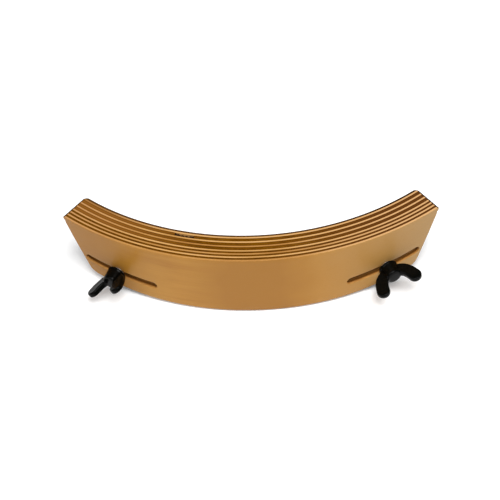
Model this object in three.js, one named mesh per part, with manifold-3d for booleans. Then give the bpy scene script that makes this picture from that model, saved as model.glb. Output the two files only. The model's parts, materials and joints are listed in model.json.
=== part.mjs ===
// Laminated violin shoulder rest: a bent board of light and dark veneers with one adjustable foot in a slot
// at each end. A bolt carries the foot on the hollow side and a wing nut clamps it from the outer side.
//
// Millimetres, +Z up. The board's bend is an arc about a vertical axis behind it. +X runs along the board,
// -Y is its bulging outer side, and its straight edge is on top. The finished group is moved so that
// the origin is at the middle of the bottom of its bounding box.
import * as THREE from "three";
import { mergeVertices } from "three/addons/utils/BufferGeometryUtils.js";
import Module from "manifold-3d";

const wasm = await Module();
wasm.setup();

const deg = THREE.MathUtils.degToRad;

// Board
const CHORD = 250; // straight distance between the two tips
const FACE_RADIUS = 201.9; // bend of the outer side
const HEIGHT = 51;
const TIP = FACE_RADIUS * Math.asin(CHORD / 2 / FACE_RADIUS); // distances along the outer side, from its middle
const FOOT_OF_END = 117.3; // where the slanting end starts above the rounded corner
const FOOT_OF_END_Z = 10.6;
const CORNER_TIP = FOOT_OF_END - 2; // where the end would meet the bottom edge if the corner were sharp
const CORNER_START = FOOT_OF_END - 7;
const EDGE_RISE = 4.6; // rise of the curved bottom edge, 100 mm from the middle
const EDGE_POWER = 2.65;
const LIGHT_PLY = 1.1;
const THIN_DARK_PLY = 1.5; // between the veneers nearer the outer side
const THICK_DARK_PLY = 2.5;
const BACK_PLY = 1.6;
const GLUE_LINE = 0.05;

// Slots
const SLOT_WIDTH = 5.4;
const SLOT_START = 64.3;
const SLOT_START_Z = 14.9;
const SLOT_END = 118.4;
const SLOT_END_Z = 20.1;
const BOLT_PLACE = 93; // where the bolts are clamped

// Fasteners
const GAP = 0.3; // between pieces that rest on each other
const BOLT_RADIUS = 2.5;
const BOLT_REACH = 8.8; // threaded end, beyond the outer side
const BOLT_HEAD_RADIUS = 6.3;
const BOLT_HEAD_HEIGHT = 2.6;
const WASHER_RADIUS = 5;
const WASHER_THICKNESS = 1.2;
const INSERT_RADIUS = 3.8;
const HUB_RADIUS = 6.6;
const HUB_HEIGHT = 9;
const HUB_CAP = 1.4; // closed end of the hub
const WING_THICKNESS = 3.6;
const WING_TIP_OUT = 11.9; // centre of a wing's round end, from the bolt's axis
const WING_TIP_UP = 15.1; // and above the nut's base
const WING_TIP_RADIUS = 4.4;

// Feet
const SHOE_LENGTH = 24;
const SHOE_WIDTH = 14;
const SHOE_THICKNESS = 1.5;
const PLATE_THICKNESS = 1.6;
const PIN_OUT = 8.5; // from the bolt towards the fork's open side
const PIN_SPREAD = 12; // half the distance between a fork's pins
const PIN_RADIUS = 1.6;
const SLEEVE_RADIUS = 4.6;
const SLEEVE_LENGTH = 9.5;
const FOOT_TURN = deg(33); // how far each fork is turned down about its bolt
const LEFT_NUT_ANGLE = deg(41); // where the wings came to rest
const RIGHT_NUT_ANGLE = deg(4);

// Materials
const lightWood = new THREE.MeshStandardMaterial({ color: 0xcf9f60, roughness: 0.5, metalness: 0 });
const darkWood = new THREE.MeshStandardMaterial({ color: 0x6a3d0c, roughness: 0.6, metalness: 0 });
const blackPlastic = new THREE.MeshStandardMaterial({ color: 0x0b0b0b, roughness: 0.35, metalness: 0 });
const nylon = new THREE.MeshStandardMaterial({ color: 0x1c1c1c, roughness: 0.6, metalness: 0 });
const rubber = new THREE.MeshStandardMaterial({ color: 0x151515, roughness: 0.85, metalness: 0 });
const blackSteel = new THREE.MeshStandardMaterial({ color: 0x202020, roughness: 0.45, metalness: 0.8 });
const zincSteel = new THREE.MeshStandardMaterial({ color: 0xc4c6c8, roughness: 0.3, metalness: 1 });
const brass = new THREE.MeshStandardMaterial({ color: 0xb8923f, roughness: 0.35, metalness: 1 });

// ---------------------------------------------------------------- helpers

function toSolid(geometry) {
  const bare = geometry.clone();
  bare.deleteAttribute("normal");
  bare.deleteAttribute("uv");
  const merged = mergeVertices(bare, 1e-4);
  return new wasm.Manifold(
    new wasm.Mesh({
      numProp: 3,
      vertProperties: new Float32Array(merged.attributes.position.array),
      triVerts: new Uint32Array(merged.index.array),
    }),
  );
}

function toGeometry(solid) {
  const mesh = solid.getMesh();
  const geometry = new THREE.BufferGeometry();
  geometry.setAttribute("position", new THREE.BufferAttribute(new Float32Array(mesh.vertProperties), 3));
  geometry.setIndex(new THREE.BufferAttribute(new Uint32Array(mesh.triVerts), 1));
  return geometry;
}

function union(...geometries) {
  return toGeometry(geometries.map(toSolid).reduce((whole, piece) => whole.add(piece)));
}

function subtract(geometry, ...cutters) {
  return toGeometry(cutters.map(toSolid).reduce((whole, cutter) => whole.subtract(cutter), toSolid(geometry)));
}

// A piece turned about the local Z axis. Its corners are [radius, z], anticlockwise with the axis on the left.
function turned(corners, segments, closed = false) {
  const points = corners.map(([radius, z]) => new THREE.Vector2(radius, z));
  if (closed) {
    points.push(points[0].clone());
  }
  return new THREE.LatheGeometry(points, segments).rotateX(Math.PI / 2);
}

// A rod along the local Z axis, from z = from to z = to.
function rod(radius, from, to, segments) {
  return turned([[0, from], [radius, from], [radius, to], [0, to]], segments);
}

// A block with its lower face at z = from.
function block(width, depth, from, to) {
  return new THREE.BoxGeometry(width, depth, to - from).translate(0, 0, (from + to) / 2);
}

function addMesh(parent, name, geometry, material) {
  const mesh = new THREE.Mesh(geometry, material);
  mesh.name = name;
  parent.add(mesh);
}

// ---------------------------------------------------------------- slots and their frames

const slotMiddle = (SLOT_START + SLOT_END) / 2;
const slotMiddleZ = (SLOT_START_Z + SLOT_END_Z) / 2;
const slotSlope = Math.atan2(SLOT_END_Z - SLOT_START_Z, SLOT_END - SLOT_START);
const slotHalfTurn = (Math.hypot(SLOT_END - SLOT_START, SLOT_END_Z - SLOT_START_Z) - SLOT_WIDTH) / 2 / FACE_RADIUS;

// The frame that a bolt swings in: its origin is the centre of the board's bend, at the slot's height. Local Z
// points out through the slot's middle, X outward along the sloping slot, and Y is the axis that the bolt
// swings about, so a turn about Y moves a piece along the slot. side is 1 at the +X end and -1 at the other.
function slotFrame(side) {
  const angle = side * (slotMiddle / FACE_RADIUS);
  const outward = new THREE.Vector3(Math.sin(angle), -Math.cos(angle), 0);
  const along = new THREE.Vector3(Math.cos(angle), Math.sin(angle), 0)
    .multiplyScalar(side * Math.cos(slotSlope))
    .addScaledVector(new THREE.Vector3(0, 0, 1), Math.sin(slotSlope));
  const axis = new THREE.Vector3().crossVectors(outward, along);
  return new THREE.Matrix4().makeBasis(along, axis, outward).setPosition(0, FACE_RADIUS, slotMiddleZ);
}

// The slot's cutter: a straight-sided band around the bend, with a round bar at each end.
function slotCutter(side) {
  const near = FACE_RADIUS - 40;
  const far = FACE_RADIUS + 10;
  const band = new THREE.Shape();
  band.absarc(0, 0, far, Math.PI / 2 + slotHalfTurn, Math.PI / 2 - slotHalfTurn, true);
  band.absarc(0, 0, near, Math.PI / 2 - slotHalfTurn, Math.PI / 2 + slotHalfTurn, false);
  const walls = new THREE.ExtrudeGeometry(band, { depth: SLOT_WIDTH, bevelEnabled: false, curveSegments: 1 });
  walls.rotateX(Math.PI / 2).translate(0, SLOT_WIDTH / 2, 0);
  const ends = [-slotHalfTurn, slotHalfTurn].map((turn) => rod(SLOT_WIDTH / 2, near, far, 12).rotateY(turn));
  return union(walls, ...ends).applyMatrix4(slotFrame(side));
}

// ---------------------------------------------------------------- board

// The lower edge of a veneer laid flat, as [distance from the middle, z], out to the tip where it meets the top.
function lowerEdge() {
  const points = [];
  const bottomZ = (distance) => EDGE_RISE * (distance / 100) ** EDGE_POWER;
  const steps = 12;
  for (let step = 0; step < steps; step += 1) {
    const distance = (CORNER_START * step) / steps;
    points.push([distance, bottomZ(distance)]);
  }
  const lean = (TIP - FOOT_OF_END) / (HEIGHT - FOOT_OF_END_Z);
  const cornerZ = bottomZ(CORNER_TIP);
  const corner = new THREE.QuadraticBezierCurve(
    new THREE.Vector2(CORNER_START, bottomZ(CORNER_START)),
    new THREE.Vector2(FOOT_OF_END - lean * (FOOT_OF_END_Z - cornerZ), cornerZ),
    new THREE.Vector2(FOOT_OF_END, FOOT_OF_END_Z),
  );
  corner.getPoints(3).forEach((point) => points.push([point.x, point.y]));
  points.push([(FOOT_OF_END + TIP) / 2, (FOOT_OF_END_Z + HEIGHT) / 2]);
  points.push([TIP, HEIGHT]);
  return points;
}

// One veneer: columns from the lower edge to the straight top, bent about the board's axis.
function veneer(depth, thickness) {
  const half = lowerEdge();
  const mirrored = half.slice(1).reverse().map(([distance, z]) => [-distance, z]);
  const columns = [...mirrored, ...half].map(([distance, z]) => {
    const angle = distance / FACE_RADIUS;
    const corner = (radius, height) =>
      new THREE.Vector3(radius * Math.sin(angle), FACE_RADIUS - radius * Math.cos(angle), height);
    const outer = FACE_RADIUS - depth;
    const inner = outer - thickness;
    return [corner(outer, z), corner(inner, z), corner(inner, HEIGHT), corner(outer, HEIGHT)];
  });
  const positions = [];
  const triangle = (...corners) => {
    if (new THREE.Triangle(...corners).getArea() > 1e-6) {
      corners.forEach((point) => positions.push(...point.toArray()));
    }
  };
  for (let index = 1; index < columns.length; index += 1) {
    const left = columns[index - 1];
    const right = columns[index];
    for (let edge = 0; edge < 4; edge += 1) {
      const next = (edge + 1) % 4;
      triangle(left[edge], left[next], right[next]);
      triangle(left[edge], right[next], right[edge]);
    }
  }
  const geometry = new THREE.BufferGeometry();
  geometry.setAttribute("position", new THREE.Float32BufferAttribute(positions, 3));
  return geometry;
}

// Alternate light and dark veneers, from the outer side to the hollow side, which ends on a dark one.
function veneerStack() {
  const stack = [];
  for (let pair = 0; pair < 7; pair += 1) {
    const darkThickness = [THIN_DARK_PLY, THICK_DARK_PLY, BACK_PLY][Math.floor(pair / 3)];
    stack.push({ tone: "light", thickness: LIGHT_PLY, material: lightWood });
    stack.push({ tone: "dark", thickness: darkThickness, material: darkWood });
  }
  return stack;
}

const boardThickness = veneerStack().reduce((total, ply) => total + ply.thickness + GLUE_LINE, -GLUE_LINE);

function board() {
  const group = new THREE.Group();
  const cutters = [slotCutter(-1), slotCutter(1)];
  let depth = 0;
  veneerStack().forEach(({ tone, thickness, material }, index) => {
    const name = `ply_${String(index + 1).padStart(2, "0")}_${tone}`;
    addMesh(group, name, subtract(veneer(depth, thickness), ...cutters), material);
    depth += thickness + GLUE_LINE;
  });
  return group;
}

// ---------------------------------------------------------------- clamps and feet
// Built about the bolt's axis: local Z points out of the board, and z = 0 is the board's outer side.

const shoeFace = -boardThickness - GAP - SHOE_THICKNESS; // the shoe's flat side, which the foot turns on
const plateFace = shoeFace - GAP;
const plateBack = plateFace - PLATE_THICKNESS;
const washerBase = GAP;
const nutBase = washerBase + WASHER_THICKNESS + GAP;

// A shoe that follows the hollow side's bend, with a flat side for the foot.
function slideShoe() {
  const hollowRadius = FACE_RADIUS - boardThickness - GAP;
  const halfAngle = Math.asin(SHOE_LENGTH / 2 / hollowRadius);
  const outline = new THREE.Shape();
  outline.absarc(0, 0, hollowRadius, Math.PI / 2 + halfAngle, Math.PI / 2 - halfAngle, true);
  outline.lineTo(SHOE_LENGTH / 2, FACE_RADIUS + shoeFace);
  outline.lineTo(-SHOE_LENGTH / 2, FACE_RADIUS + shoeFace);
  const body = new THREE.ExtrudeGeometry(outline, { depth: SHOE_WIDTH, bevelEnabled: false, curveSegments: 8 });
  body.rotateX(Math.PI / 2).translate(0, SHOE_WIDTH / 2, -FACE_RADIUS);
  return subtract(body, rod(BOLT_RADIUS + GAP, shoeFace - 5, 0, 24));
}

// A stamped T-shaped plate with a square hole for the bolt's neck and two riveted pin holes in its arm.
function footPlate() {
  const stem = SHOE_WIDTH / 2;
  const tail = -SHOE_LENGTH / 2 + 2;
  const armStart = PIN_OUT - 4;
  const armEnd = PIN_OUT + 4;
  const armHalf = PIN_SPREAD + 3.6;
  const outline = new THREE.Shape();
  outline.moveTo(tail, -stem + 2);
  outline.lineTo(tail + 2, -stem);
  outline.lineTo(armStart, -stem);
  outline.lineTo(armStart, -armHalf + 2);
  outline.lineTo(armStart + 2, -armHalf);
  outline.lineTo(armEnd - 2, -armHalf);
  outline.lineTo(armEnd, -armHalf + 2);
  outline.lineTo(armEnd, armHalf - 2);
  outline.lineTo(armEnd - 2, armHalf);
  outline.lineTo(armStart + 2, armHalf);
  outline.lineTo(armStart, armHalf - 2);
  outline.lineTo(armStart, stem);
  outline.lineTo(tail + 2, stem);
  outline.lineTo(tail, stem - 2);
  const plate = new THREE.ExtrudeGeometry(outline, { depth: PLATE_THICKNESS, bevelEnabled: false });
  plate.translate(0, 0, plateBack);
  const neck = 2 * BOLT_RADIUS + 0.4;
  const pinHoles = [-1, 1].map((way) =>
    rod(PIN_RADIUS + 0.1, plateBack - 1, plateFace + 1, 16).translate(PIN_OUT, way * PIN_SPREAD, 0),
  );
  return subtract(plate, block(neck, neck, plateBack - 1, plateFace + 1), ...pinHoles);
}

function forkPin() {
  return rod(PIN_RADIUS, plateBack - SLEEVE_LENGTH + 2.5, plateFace - 0.2, 16);
}

// A rubber sleeve, waisted for the edge of the violin's back, with a blind bore for the pin.
function sleeve() {
  const base = plateBack - 0.2;
  const end = base - SLEEVE_LENGTH;
  const bore = PIN_RADIUS + 0.1;
  const waist = SLEEVE_RADIUS - 0.9;
  return turned(
    [
      [0, end],
      [SLEEVE_RADIUS - 2.2, end],
      [SLEEVE_RADIUS - 0.5, end + 0.8],
      [SLEEVE_RADIUS, end + 2.2],
      [waist, end + 4.4],
      [waist, end + 6],
      [SLEEVE_RADIUS, end + 7.8],
      [SLEEVE_RADIUS, base],
      [bore, base],
      [bore, end + 2],
      [0, end + 2],
    ],
    16,
  );
}

// A round-headed bolt whose square neck is held by the plate.
function bolt() {
  const seat = plateBack - 0.2;
  const head = turned(
    [
      [0, seat - BOLT_HEAD_HEIGHT],
      [3, seat - 0.85 * BOLT_HEAD_HEIGHT],
      [5, seat - 0.5 * BOLT_HEAD_HEIGHT],
      [BOLT_HEAD_RADIUS, seat - 0.4],
      [BOLT_HEAD_RADIUS, seat],
      [0, seat],
    ],
    24,
  );
  const neck = block(2 * BOLT_RADIUS, 2 * BOLT_RADIUS, seat - 0.5, plateFace);
  const shank = turned(
    [
      [0, seat - 0.5],
      [BOLT_RADIUS, seat - 0.5],
      [BOLT_RADIUS, BOLT_REACH - 0.5],
      [BOLT_RADIUS - 0.5, BOLT_REACH],
      [0, BOLT_REACH],
    ],
    24,
  );
  return union(head, neck, shank);
}

function washer() {
  const hole = BOLT_RADIUS + 0.2;
  const top = washerBase + WASHER_THICKNESS;
  return turned([[hole, washerBase], [WASHER_RADIUS, washerBase], [WASHER_RADIUS, top], [hole, top]], 32, true);
}

// The brass thread inside the wing nut.
function nutInsert() {
  const bore = BOLT_RADIUS + 0.15;
  const base = nutBase + 0.2;
  const top = nutBase + HUB_HEIGHT - HUB_CAP - 0.4;
  return turned([[bore, base], [INSERT_RADIUS, base], [INSERT_RADIUS, top], [bore, top]], 24, true);
}

// Both wings as one flat, rounded plate that stands on the bolt's axis, before the hub is added.
function wings() {
  const outline = new THREE.Shape();
  const tip = [WING_TIP_OUT, WING_TIP_UP];
  const size = WING_TIP_RADIUS - 1;
  outline.moveTo(0, 2.4);
  outline.lineTo(3.5, 2.4);
  outline.bezierCurveTo(8.6, 2.9, 12.6, 5.6, tip[0] + size * Math.cos(deg(-25)), tip[1] + size * Math.sin(deg(-25)));
  outline.absarc(tip[0], tip[1], size, deg(-25), deg(165), false);
  outline.bezierCurveTo(7.4, 12.6, 6.6, 9.6, 3.5, 8.2);
  outline.lineTo(0, 8.2);
  const bevel = { bevelThickness: 1, bevelSize: 1, bevelSegments: 2, curveSegments: 5 };
  const half = new THREE.ExtrudeGeometry(outline, { depth: WING_THICKNESS - 2, ...bevel });
  half.translate(0, 0, -WING_THICKNESS / 2 + 1).rotateX(Math.PI / 2);
  return [half, half.clone().rotateZ(Math.PI)];
}

function wingNut() {
  const hub = turned(
    [
      [0, 0],
      [HUB_RADIUS, 0],
      [HUB_RADIUS, 1.2],
      [HUB_RADIUS - 0.5, 1.8],
      [HUB_RADIUS - 1, HUB_HEIGHT - 0.9],
      [HUB_RADIUS - 1.6, HUB_HEIGHT - 0.3],
      [HUB_RADIUS - 3, HUB_HEIGHT],
      [0, HUB_HEIGHT],
    ],
    24,
  );
  const body = union(hub, ...wings());
  return subtract(body, rod(INSERT_RADIUS + 0.1, -1, HUB_HEIGHT - HUB_CAP, 24)).translate(0, 0, nutBase);
}

// The clamp and foot at one end of the board. The two nuts come to rest at different angles.
function clampedFoot(side, label, nutAngle) {
  const frame = new THREE.Group();
  frame.applyMatrix4(slotFrame(side));
  const swing = new THREE.Group();
  swing.rotation.y = (BOLT_PLACE - slotMiddle) / Math.cos(slotSlope) / FACE_RADIUS;
  frame.add(swing);
  const place = new THREE.Group();
  place.position.z = FACE_RADIUS;
  swing.add(place);
  addMesh(place, `${label}_slide_shoe`, slideShoe(), nylon);
  addMesh(place, `${label}_washer`, washer(), zincSteel);

  const foot = new THREE.Group();
  foot.rotation.z = -side * FOOT_TURN;
  place.add(foot);
  addMesh(foot, `${label}_foot_plate`, footPlate(), blackSteel);
  addMesh(foot, `${label}_bolt`, bolt(), zincSteel);
  [-1, 1].forEach((way) => {
    const level = way * side > 0 ? "upper" : "lower";
    const at = [PIN_OUT, way * PIN_SPREAD, 0];
    addMesh(foot, `${label}_${level}_pin`, forkPin().translate(...at), zincSteel);
    addMesh(foot, `${label}_${level}_sleeve`, sleeve().translate(...at), rubber);
  });

  const nut = new THREE.Group();
  nut.rotation.z = nutAngle;
  place.add(nut);
  addMesh(nut, `${label}_wing_nut`, wingNut(), blackPlastic);
  addMesh(nut, `${label}_nut_insert`, nutInsert(), brass);
  return frame;
}

// ---------------------------------------------------------------- assembly

const rest = new THREE.Group();
rest.add(board());
rest.add(clampedFoot(-1, "left", LEFT_NUT_ANGLE));
rest.add(clampedFoot(1, "right", RIGHT_NUT_ANGLE));
rest.updateMatrixWorld(true);
const box = new THREE.Box3().setFromObject(rest, true);
rest.position.set(-(box.min.x + box.max.x) / 2, -(box.min.y + box.max.y) / 2, -box.min.z);

export default rest;
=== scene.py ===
"""Looks of the laminated violin shoulder rest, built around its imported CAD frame.

Metres, +Z up, in the row frame. The board is described laid flat: distance runs along its bulging
face from the middle, height is z, and depth goes from the bulging face towards the hollow one.
Hardware is described in millimetres about its bolt, with Z out of the bulging face, and then put
in place.
"""

import json
import math

import bmesh
import bpy
import numpy as np
from mathutils import Matrix, Vector


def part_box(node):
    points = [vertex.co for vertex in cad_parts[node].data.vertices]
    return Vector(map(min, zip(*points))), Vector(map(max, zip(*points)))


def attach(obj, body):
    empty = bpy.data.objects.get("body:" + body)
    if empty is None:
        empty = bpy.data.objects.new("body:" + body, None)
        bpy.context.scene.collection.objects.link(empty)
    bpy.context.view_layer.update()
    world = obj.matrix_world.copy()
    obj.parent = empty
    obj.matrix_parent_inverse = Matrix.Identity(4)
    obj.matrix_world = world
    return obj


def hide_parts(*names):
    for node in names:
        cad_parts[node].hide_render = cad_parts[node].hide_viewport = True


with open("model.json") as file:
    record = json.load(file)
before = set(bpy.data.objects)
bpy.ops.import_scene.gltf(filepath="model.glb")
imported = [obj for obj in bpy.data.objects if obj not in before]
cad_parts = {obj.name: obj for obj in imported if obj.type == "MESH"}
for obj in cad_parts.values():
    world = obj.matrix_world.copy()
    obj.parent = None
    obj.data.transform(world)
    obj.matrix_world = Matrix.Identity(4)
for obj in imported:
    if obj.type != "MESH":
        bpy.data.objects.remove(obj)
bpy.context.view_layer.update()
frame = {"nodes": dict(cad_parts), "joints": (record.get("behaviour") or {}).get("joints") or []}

MM = 0.001
MERGE_MM = 2e-4  # points closer than this are one, in pieces made in millimetres
MERGE = MERGE_MM * MM
JOINTS = {joint["name"]: joint for joint in frame["joints"]}
PLIES = sorted(name for name in frame["nodes"] if name.startswith("ply_"))
SIDES = ("left", "right")

# ---------------------------------------------------------------- the board's sizes

face_low, face_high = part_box(PLIES[0])
TOP = face_high.z
BOTTOM = face_low.z
BEND = Vector(JOINTS["right_slot_travel"]["pos_m"])  # centre of the bend, at the slots' height
FACE_RADIUS = BEND.y - face_low.y
TIP = FACE_RADIUS * math.asin(face_high.x / FACE_RADIUS)

# The lower edge, as in the CAD: a rising curve, a rounded corner and a straight slanting end.
EDGE_RISE = 4.6 * MM  # how far the curve has risen at EDGE_RISE_AT from the middle
EDGE_RISE_AT = 100 * MM
EDGE_POWER = 2.65
END_FOOT = 117.3 * MM
END_FOOT_HEIGHT = 10.6 * MM
CORNER_TIP = END_FOOT - 2 * MM
CORNER_START = END_FOOT - 7 * MM

SLOT_AXIS = Vector(JOINTS["right_slot_travel"]["axis"])
SLOT_SLOPE = math.acos(SLOT_AXIS.z)
SLOT_MIDDLE = FACE_RADIUS * math.atan2(-SLOT_AXIS.y, -SLOT_AXIS.x)
SLOT_WIDTH = 5.4 * MM
SLOT_STRAIGHT = 48.95 * MM
SLOT_REACH = SLOT_STRAIGHT / 2 * math.cos(SLOT_SLOPE)
SLOT_START = SLOT_MIDDLE - SLOT_REACH  # where the slot's round ends meet its straight stretch
SLOT_END = SLOT_MIDDLE + SLOT_REACH
SLOT_TURN = SLOT_WIDTH / 2 * math.cos(SLOT_SLOPE)  # how far the round ends reach past that
SLOT_TIP = SLOT_END + SLOT_TURN
SLOT_CLEAR = 6.5 * MM  # the slots stay more than this above BOTTOM and below TOP

# How far the sanded edges are rounded.
FACE_ROUND = 0.3 * MM
BACK_ROUND = 0.4 * MM
BACK_END_ROUND = 3.2 * MM  # at the tips; less towards the lower edge
SLOT_ROUND = 0.35 * MM
TIP_ROUND = 1.6 * MM  # where the slanting ends meet the top edge
TIP_ANGLE = math.atan2(TOP - BOTTOM - END_FOOT_HEIGHT, TIP - END_FOOT)
TIP_RUN = TIP_ROUND / math.tan(TIP_ANGLE / 2)  # from the sharp tip to where its rounding starts
DARK_EDGE_DIP = 0.04 * MM  # the soft dark veneers are sanded a little lower

VOID_PLY = "ply_12_dark"  # one dark veneer has a short gap in its upper edge
VOID_START = -53.8 * MM
VOID_END = -39.8 * MM
VOID_DEPTH = 1.8 * MM
FINE_START = 34 * MM  # the mesh's columns are close together from here to FINE_END, for the void
FINE_END = 54 * MM


def ply_radii(name):
    """The outer and inner radius of a veneer about the bend's axis."""
    corners = [vertex.co for vertex in frame["nodes"][name].data.vertices]
    radii = [math.hypot(corner.x, BEND.y - corner.y) for corner in corners]
    return max(radii), min(radii)


def ply_depths():
    """Where each veneer starts and ends below the bulging face, with the glue lines closed."""
    radii = [ply_radii(name) for name in PLIES]
    starts = [0.0]
    for (_, inner), (outer, _) in zip(radii, radii[1:]):
        starts.append(FACE_RADIUS - (inner + outer) / 2)
    starts.append(FACE_RADIUS - radii[-1][1])
    return starts


PLY_EDGES = ply_depths()
THICKNESS = PLY_EDGES[-1]

# ---------------------------------------------------------------- mesh helpers


def new_object(name, mesh):
    piece = bpy.data.objects.new(name, mesh)
    bpy.context.scene.collection.objects.link(piece)
    return piece


def finish_mesh(mesh, sharp_angle=40, merge=MERGE):
    """Merges doubled points, turns every face outward, and shades smooth except at sharp edges."""
    work = bmesh.new()
    work.from_mesh(mesh)
    bmesh.ops.remove_doubles(work, verts=work.verts, dist=merge)
    bmesh.ops.dissolve_degenerate(work, edges=work.edges, dist=merge / 2)
    bmesh.ops.recalc_face_normals(work, faces=work.faces)
    work.to_mesh(mesh)
    work.free()
    mesh.polygons.foreach_set("use_smooth", [True] * len(mesh.polygons))
    mesh.set_sharp_from_angle(angle=math.radians(sharp_angle))
    mesh.update()


def mesh_from(name, points, faces):
    mesh = bpy.data.meshes.new(name)
    mesh.from_pydata(points, [], faces)
    return mesh


def apply_modifiers(piece):
    """Replaces the piece's mesh by what its modifiers make of it."""
    bpy.context.view_layer.update()
    shown = piece.evaluated_get(bpy.context.evaluated_depsgraph_get())
    mesh = bpy.data.meshes.new_from_object(shown)
    old = piece.data
    piece.modifiers.clear()
    piece.data = mesh
    bpy.data.meshes.remove(old)


def bevel(piece, width, segments=3, angle=30):
    modifier = piece.modifiers.new("bevel", "BEVEL")
    modifier.width = width
    modifier.segments = segments
    modifier.limit_method = "ANGLE"
    modifier.angle_limit = math.radians(angle)
    apply_modifiers(piece)


def cut(piece, *cutters):
    """Takes the cutters out of the piece, and deletes them."""
    for cutter in cutters:
        modifier = piece.modifiers.new("cut", "BOOLEAN")
        modifier.operation = "DIFFERENCE"
        modifier.solver = "EXACT"
        modifier.object = cutter
    apply_modifiers(piece)
    for cutter in cutters:
        bpy.data.objects.remove(cutter)


def lathe(name, profile, segments=64, shape=None):
    """A solid turned about Z from (radius, z) points that start and end on the axis, in millimetres.

    shape, where given, makes the radius of a point from its radius, its z and its angle.
    """
    points = []
    faces = []
    for radius, z in profile:
        for step in range(segments):
            angle = 2 * math.pi * step / segments
            reach = shape(radius, z, angle) if shape else radius
            points.append((reach * math.cos(angle), reach * math.sin(angle), z))
    for row in range(len(profile) - 1):
        for step in range(segments):
            beside = (step + 1) % segments
            a, b = row * segments, (row + 1) * segments
            faces.append((a + step, a + beside, b + beside, b + step))
    piece = new_object(name, mesh_from(name, points, faces))
    finish_mesh(piece.data, merge=MERGE_MM)
    return piece


def ring(name, profile, segments=64, shape=None):
    """A ring turned about Z from a closed outline of (radius, z) points, in millimetres."""
    return lathe(name, [*profile, profile[0]], segments, shape)


def extrusion(name, outline, low, high):
    """A flat outline in X and Y, from z = low to z = high, in millimetres."""
    count = len(outline)
    points = [(x, y, low) for x, y in outline] + [(x, y, high) for x, y in outline]
    faces = [tuple(reversed(range(count))), tuple(range(count, 2 * count))]
    for index in range(count):
        beside = (index + 1) % count
        faces.append((index, beside, count + beside, count + index))
    piece = new_object(name, mesh_from(name, points, faces))
    finish_mesh(piece.data, merge=MERGE_MM)
    return piece


def arc(centre_x, centre_y, radius, start, end, steps):
    """Points on a circle, with the angles in degrees."""
    angles = [math.radians(start + (end - start) * step / steps) for step in range(steps + 1)]
    return [(centre_x + radius * math.cos(a), centre_y + radius * math.sin(a)) for a in angles]


def bezier(start, first, second, end, steps):
    """Points on a cubic curve, without its start."""
    points = []
    for step in range(1, steps + 1):
        t = step / steps
        weights = ((1 - t) ** 3, 3 * t * (1 - t) ** 2, 3 * t * t * (1 - t), t**3)
        corners = (start, first, second, end)
        points.append(tuple(sum(w * c[axis] for w, c in zip(weights, corners)) for axis in (0, 1)))
    return points


def rounded(corners, radius):
    """A closed outline with its corners rounded, both the outer and the inner ones."""
    points = []
    count = len(corners)
    steps = 8
    for index, corner in enumerate(corners):
        here = Vector(corner)
        before = (Vector(corners[index - 1]) - here).normalized()
        after = (Vector(corners[(index + 1) % count]) - here).normalized()
        start, end = here + before * radius, here + after * radius
        for step in range(steps + 1):
            t = step / steps
            bulge = here * 2 * t * (1 - t)
            points.append(tuple(start * (1 - t) ** 2 + bulge + end * t**2))
    return points


def square(half):
    return [(-half, -half), (half, -half), (half, half), (-half, half)]


def join(pieces):
    """Makes one piece of several, which may overlap."""
    work = bmesh.new()
    for piece in pieces:
        work.from_mesh(piece.data)
    mesh = bpy.data.meshes.new("joined")
    work.to_mesh(mesh)
    work.free()
    for piece in pieces:
        bpy.data.objects.remove(piece)
    return new_object("joined", mesh)


def edge_along(mesh, edge):
    ends = [mesh.vertices[index].co for index in edge.vertices]
    return (ends[1] - ends[0]).normalized()


def bevel_edges(piece, edges, width, segments):
    """Rounds the given edges only."""
    work = bmesh.new()
    work.from_mesh(piece.data)
    work.edges.ensure_lookup_table()
    chosen = [work.edges[edge.index] for edge in edges]
    bmesh.ops.bevel(work, geom=chosen, offset=width, segments=segments, profile=0.5, affect="EDGES")
    work.to_mesh(piece.data)
    work.free()


def put(piece, place, node, body, slot, sharp_angle=40):
    """Moves a piece made in millimetres to its place, and makes it stand for its CAD node."""
    finish_mesh(piece.data, sharp_angle, MERGE_MM)
    piece.data.transform(place @ Matrix.Scale(MM, 4))
    settle(piece, node, body, [MATERIALS[slot]])


def settle(piece, node, body, materials):
    """Names a piece that is in place, gives it its materials, and ties it to its body and CAD node."""
    piece.name = f"{node}_shown"
    piece.data.name = piece.name
    piece.data.materials.clear()
    for material in materials:
        piece.data.materials.append(material)
    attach(piece, body)
    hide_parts(node)


# ---------------------------------------------------------------- materials


DRIFT_WAVER = 0.03  # metres: how unevenly one colour of a veneer gives way to the next


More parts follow.
